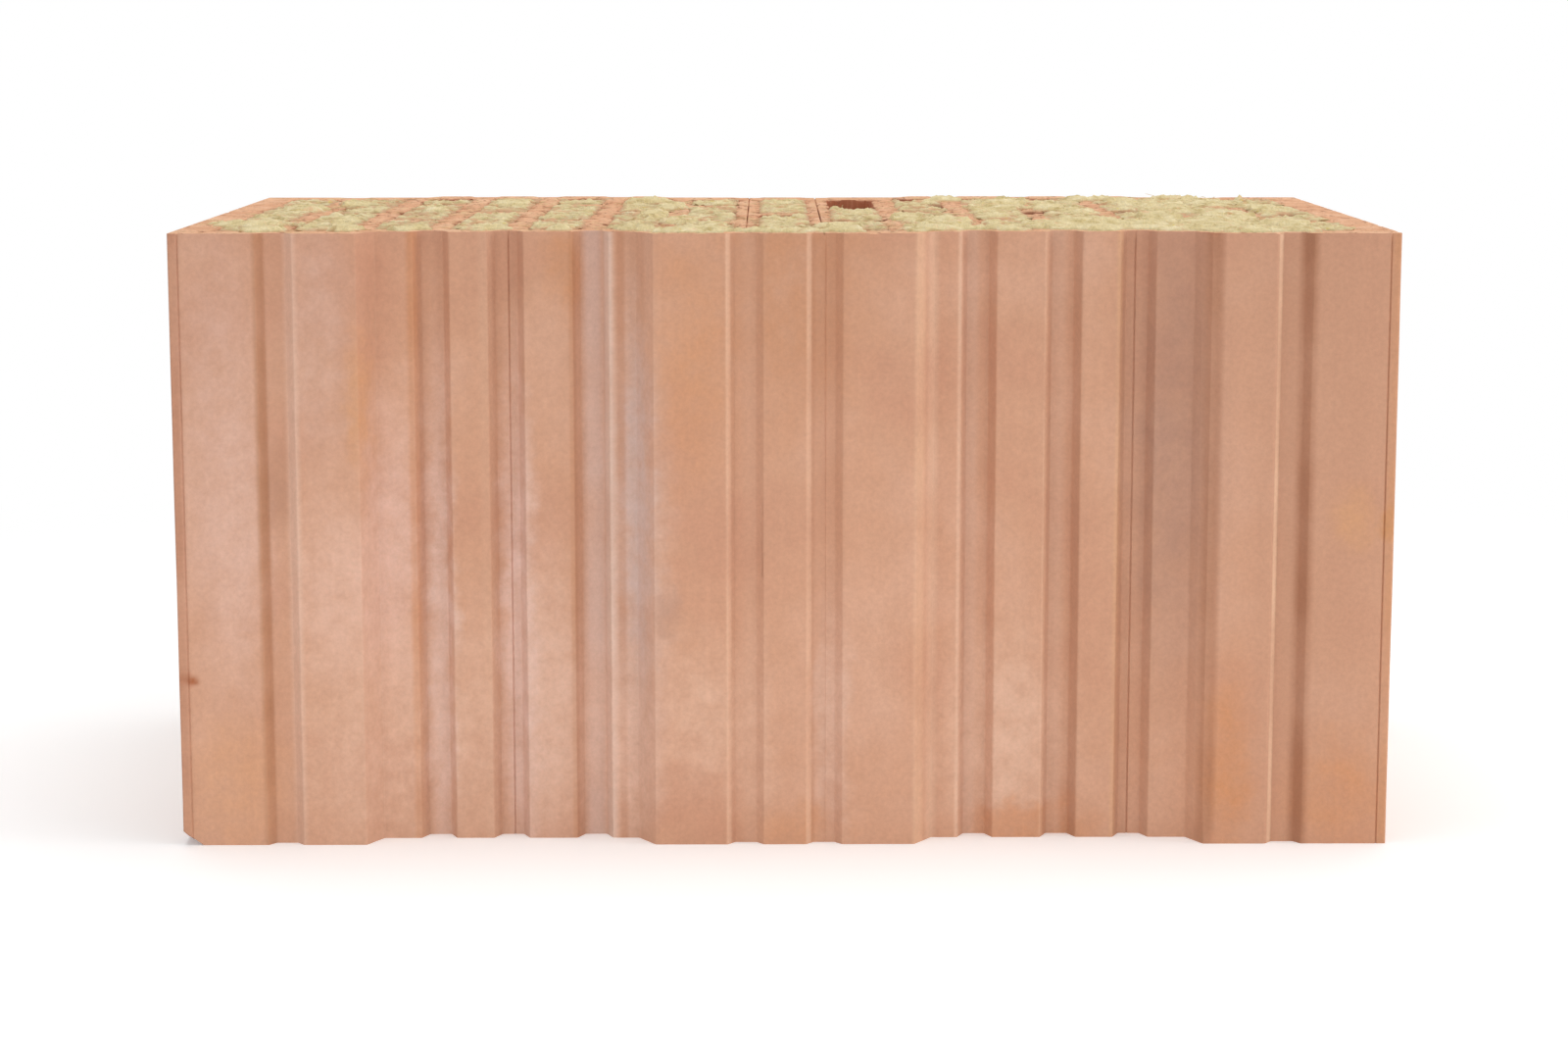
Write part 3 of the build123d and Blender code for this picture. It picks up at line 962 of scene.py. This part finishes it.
def loose_wool():
    """Mats of fluff where the list says, closed and sunk a little into what they lie on."""
    bm = flat_grid(body_high - body_low, LOOSE_GRID)
    cover = bm.verts.layers.float.new("cover")
    for vert in bm.verts:
        margin = FRONT_MARGIN if vert.co.y < 0 else BACK_MARGIN
        vert[cover] = loose_cover(vert.co) if inset(vert.co) > margin else -1.0
    bare = [face for face in bm.faces if min(vert[cover] for vert in face.verts) < 0]
    while bare:
        bmesh.ops.delete(bm, geom=bare, context="FACES")
        # Faces that meet others at one corner only go too, so that each mat is a closed piece
        pinched = [vert for vert in bm.verts
                   if sum(edge.is_boundary for edge in vert.link_edges) > 2]
        bare = list(dict.fromkeys(face for vert in pinched for face in vert.link_faces))
    rim = [vert for vert in bm.verts if vert.is_boundary]
    for _ in range(2):
        bmesh.ops.smooth_vert(bm, verts=rim, factor=0.5, use_axis_x=True, use_axis_y=True)
    upper = bm.verts[:]
    under = verts_of(bmesh.ops.extrude_face_region(bm, geom=bm.faces[:]))
    for vert in under:
        vert.co.z = TOP - MAT_ROOT
    rim = set(rim)
    for vert in upper:
        thick = ease(vert[cover], 0.0, 1.0) * ease(inset(vert.co), 0.0, 7 * MM)
        height = 0.25 * MM + 1.5 * MM * thick + (0.35 + 0.5 * thick) * lumps(vert.co)
        vert.co.z = TOP + (-0.35 * MM if vert in rim else max(height, 0.05 * MM))
    bmesh.ops.recalc_face_normals(bm, faces=bm.faces)
    thin = [vert for vert in upper if vert[cover] < 0.5]
    add_wisps(bm, thin, LOOSE_WISPS, random.Random("loose"))
    ride_as_wool(finished("loose_wool", bm, WOOL))


# Studio: a white floor, a white surround and soft lamps at both sides and low in front

def backdrop_share(tree):
    """1 for rays that show the backdrop, straight or mirrored, and 0 for rays that light things."""
    path = add(tree, "ShaderNodeLightPath")
    seen = add(tree, "ShaderNodeMath", {0: path.outputs["Is Camera Ray"],
                                        1: path.outputs["Is Glossy Ray"]}, operation="MAXIMUM")
    return add(tree, "ShaderNodeMath", {0: seen, 1: path.outputs["Is Transmission Ray"]},
               operation="MAXIMUM")


def softbox(name, place, aim, width, height, power):
    lamp = bpy.data.lights.new(name, "AREA")
    lamp.shape = "RECTANGLE"
    lamp.size, lamp.size_y = width, height
    lamp.energy = power
    holder = bpy.data.objects.new(name, lamp)
    holder.location = place
    holder.rotation_euler = (Vector(aim) - holder.location).to_track_quat("-Z", "Y").to_euler()
    holder.visible_camera = False
    bpy.context.scene.collection.objects.link(holder)


def studio():
    floor = bmesh.new()
    bmesh.ops.create_grid(floor, x_segments=1, y_segments=1, size=12.0)
    material, tree, place = new_material("studio_floor")
    paper = add(tree, "ShaderNodeBsdfDiffuse", {"Color": colour("#fafafa")})
    glow = add(tree, "ShaderNodeEmission", {"Color": colour("#ffffff"), "Strength": 0.22})
    lifted = add(tree, "ShaderNodeAddShader", {0: paper, 1: glow})
    away = add(tree, "ShaderNodeVectorMath", {0: place}, operation="LENGTH")
    plain_share = add(tree, "ShaderNodeMapRange", {
        "Value": away, "From Min": 380.0, "From Max": 900.0}, interpolation_type="SMOOTHSTEP")
    plain = add(tree, "ShaderNodeEmission", {"Color": colour("#ffffff"), "Strength": 1.0})
    shown = add(tree, "ShaderNodeMixShader", {0: plain_share, 1: lifted, 2: plain})
    shader = add(tree, "ShaderNodeMixShader", {0: backdrop_share(tree), 1: paper, 2: shown})
    add(tree, "ShaderNodeOutputMaterial", {"Surface": shader})
    piece = finished("studio_floor", floor, material)

    world = bpy.data.worlds.new("studio")
    world.use_nodes = True
    bpy.context.scene.world = world
    tree = world.node_tree
    tree.nodes.clear()
    strength = add(tree, "ShaderNodeMapRange", {
        "Value": backdrop_share(tree), "To Min": 0.42, "To Max": 1.0})
    sky = add(tree, "ShaderNodeBackground", {"Color": colour("#ffffff"), "Strength": strength})
    add(tree, "ShaderNodeOutputWorld", {"Surface": sky})

    softbox("overhead_softbox", (0, 0.15, 1.6), aim=(0, 0, 0.2),
            width=1.6, height=1.2, power=15.5)
    softbox("right_softbox", (1.7, -0.3, 0.28), aim=(0, -0.13, 0.12),
            width=0.7, height=0.9, power=12)
    softbox("front_right_softbox", (0.5, -0.62, 0.18), aim=(0.1, -0.13, 0.12),
            width=0.25, height=0.5, power=0.62)
    softbox("front_left_softbox", (-0.5, -0.62, 0.18), aim=(-0.1, -0.13, 0.12),
            width=0.25, height=0.5, power=0.62)
    softbox("low_front_softbox", (0, -0.6, 0.03), aim=(0, -0.13, 0.04),
            width=1.1, height=0.05, power=0.97)


def camera():
    """The photograph's view: square on, from a little over the upper bed face."""
    data = bpy.data.cameras.new("camera")
    data.sensor_width = 36.0
    data.lens = 68.73
    data.shift_y = -0.0545
    holder = bpy.data.objects.new("camera", data)
    holder.location = (-7.3 * MM, -1314.6 * MM, 331.0 * MM)
    holder.rotation_euler = (math.radians(90 - 7.86), 0, math.radians(-0.33))
    bpy.context.scene.collection.objects.link(holder)
    bpy.context.scene.camera = holder


clay_body()
for number, (slab_name, (slab_low, slab_high)) in enumerate(SLABS.items()):
    wool_slab(slab_name, slab_low, slab_high, seed=number * 3.7)
loose_wool()
studio()
camera()
bpy.context.scene.view_settings.view_transform = "Standard"
